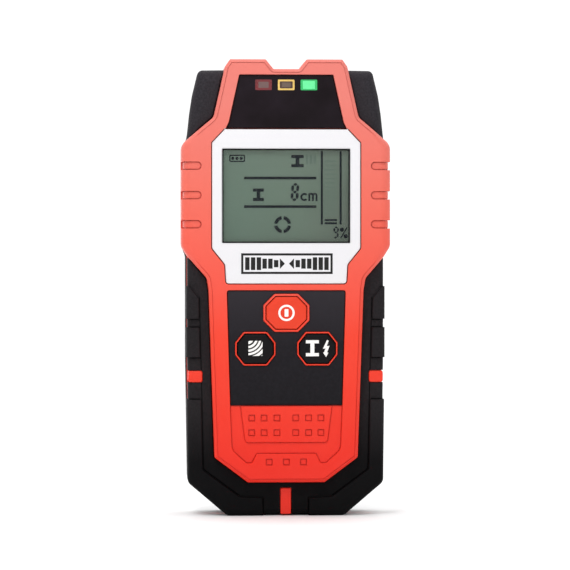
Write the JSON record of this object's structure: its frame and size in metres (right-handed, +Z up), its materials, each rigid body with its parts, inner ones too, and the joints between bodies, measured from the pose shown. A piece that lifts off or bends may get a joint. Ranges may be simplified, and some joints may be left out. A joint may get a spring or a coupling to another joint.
{
  "type": "stud finder",
  "caption": "Hand-held wall scanner with a display, three keys and indicator lights, in an orange case with black rubber corners and a rear battery door.",
  "frame": {"origin": "centre of the lower end, on the surface it stands on", "axes": "+Z up along the length, from the lower bumper to the marking notch; -Y out of the face with the display; +Y out of the back that slides on the wall; +X to the right seen from the front"},
  "size_m": [0.0756, 0.032, 0.165],
  "materials": {
    "orange_plastic": "fine matte, moulded in colour",
    "black_plastic": "fine matte",
    "rubber_overmould": "matte, slightly grainy",
    "smoked_lens": "polished, smoked",
    "silver_plate": "pearl silver paint",
    "clear_window": "polished clear acrylic",
    "display_glass": "grey-green liquid crystal display",
    "white_plastic": "milky light guide",
    "foam": "soft foam",
    "glide_felt": "felt",
    "circuit_board": "green solder mask",
    "red_led": "clear red",
    "amber_led": "clear amber",
    "green_led": "clear green",
    "copper": "enamelled copper wire",
    "steel": "zinc-plated",
    "battery_jacket": "printed foil jacket, left plain",
    "label": "plain satin sticker",
    "red_insulation": "satin PVC",
    "black_insulation": "satin PVC",
    "component_black": "moulded epoxy"
  },
  "bodies": {
    "case": {"front_shell": "orange_plastic", "rear_shell": "black_plastic", "bumper": "rubber_overmould", "shoulder_left": "rubber_overmould", "shoulder_right": "rubber_overmould", "indicator_lens": "smoked_lens", "screen_bezel": "silver_plate", "screen_window": "clear_window", "keypad_panel": "black_plastic", "power_switch": "component_black", "wood_switch": "component_black", "metal_switch": "component_black", "lcd_gasket": "foam", "lcd_panel": "display_glass", "lcd_backlight": "white_plastic", "lcd_contact_upper": "foam", "lcd_contact_lower": "foam", "main_board": "circuit_board", "red_led": "red_led", "amber_led": "amber_led", "green_led": "green_led", "light_baffle": "black_plastic", "controller_chip": "component_black", "buzzer": "component_black", "sensor_board": "circuit_board", "coil_spool": "black_plastic", "coil_winding": "copper", "board_connector": "component_black", "battery": "battery_jacket", "battery_snap": "black_plastic", "battery_lead_red": "red_insulation", "battery_lead_black": "black_insulation", "case_screw_1": "steel", "case_screw_2": "steel", "case_screw_3": "steel", "case_screw_4": "steel", "board_screw_1": "steel", "board_screw_2": "steel", "board_screw_3": "steel", "board_screw_4": "steel", "glide_pad_upper_left": "glide_felt", "glide_pad_upper_right": "glide_felt", "glide_pad_lower_left": "glide_felt", "glide_pad_lower_right": "glide_felt", "rear_label": "label"},
    "power_key": {"power_button": "orange_plastic", "power_switch_plunger": "component_black"},
    "wood_key": {"wood_button": "black_plastic", "wood_switch_plunger": "component_black"},
    "metal_key": {"metal_button": "black_plastic", "metal_switch_plunger": "component_black"},
    "door": {"battery_door": "black_plastic", "battery_pad": "foam"}
  },
  "joints": [
    {"name": "power_button_press", "type": "slide", "parent": "case", "child": "power_key", "axis": [0, 1, 0], "range_m": [0, 0.0008], "stiffness_N_per_m": 1500},
    {"name": "wood_button_press", "type": "slide", "parent": "case", "child": "wood_key", "axis": [0, 1, 0], "range_m": [0, 0.0008], "stiffness_N_per_m": 1500},
    {"name": "metal_button_press", "type": "slide", "parent": "case", "child": "metal_key", "axis": [0, 1, 0], "range_m": [0, 0.0008], "stiffness_N_per_m": 1500},
    {"name": "battery_door_swing", "type": "hinge", "parent": "case", "child": "door", "pos_m": [0, 0.01525, 0.062], "axis": [1, 0, 0], "range_deg": [0, 75]}
  ]
}
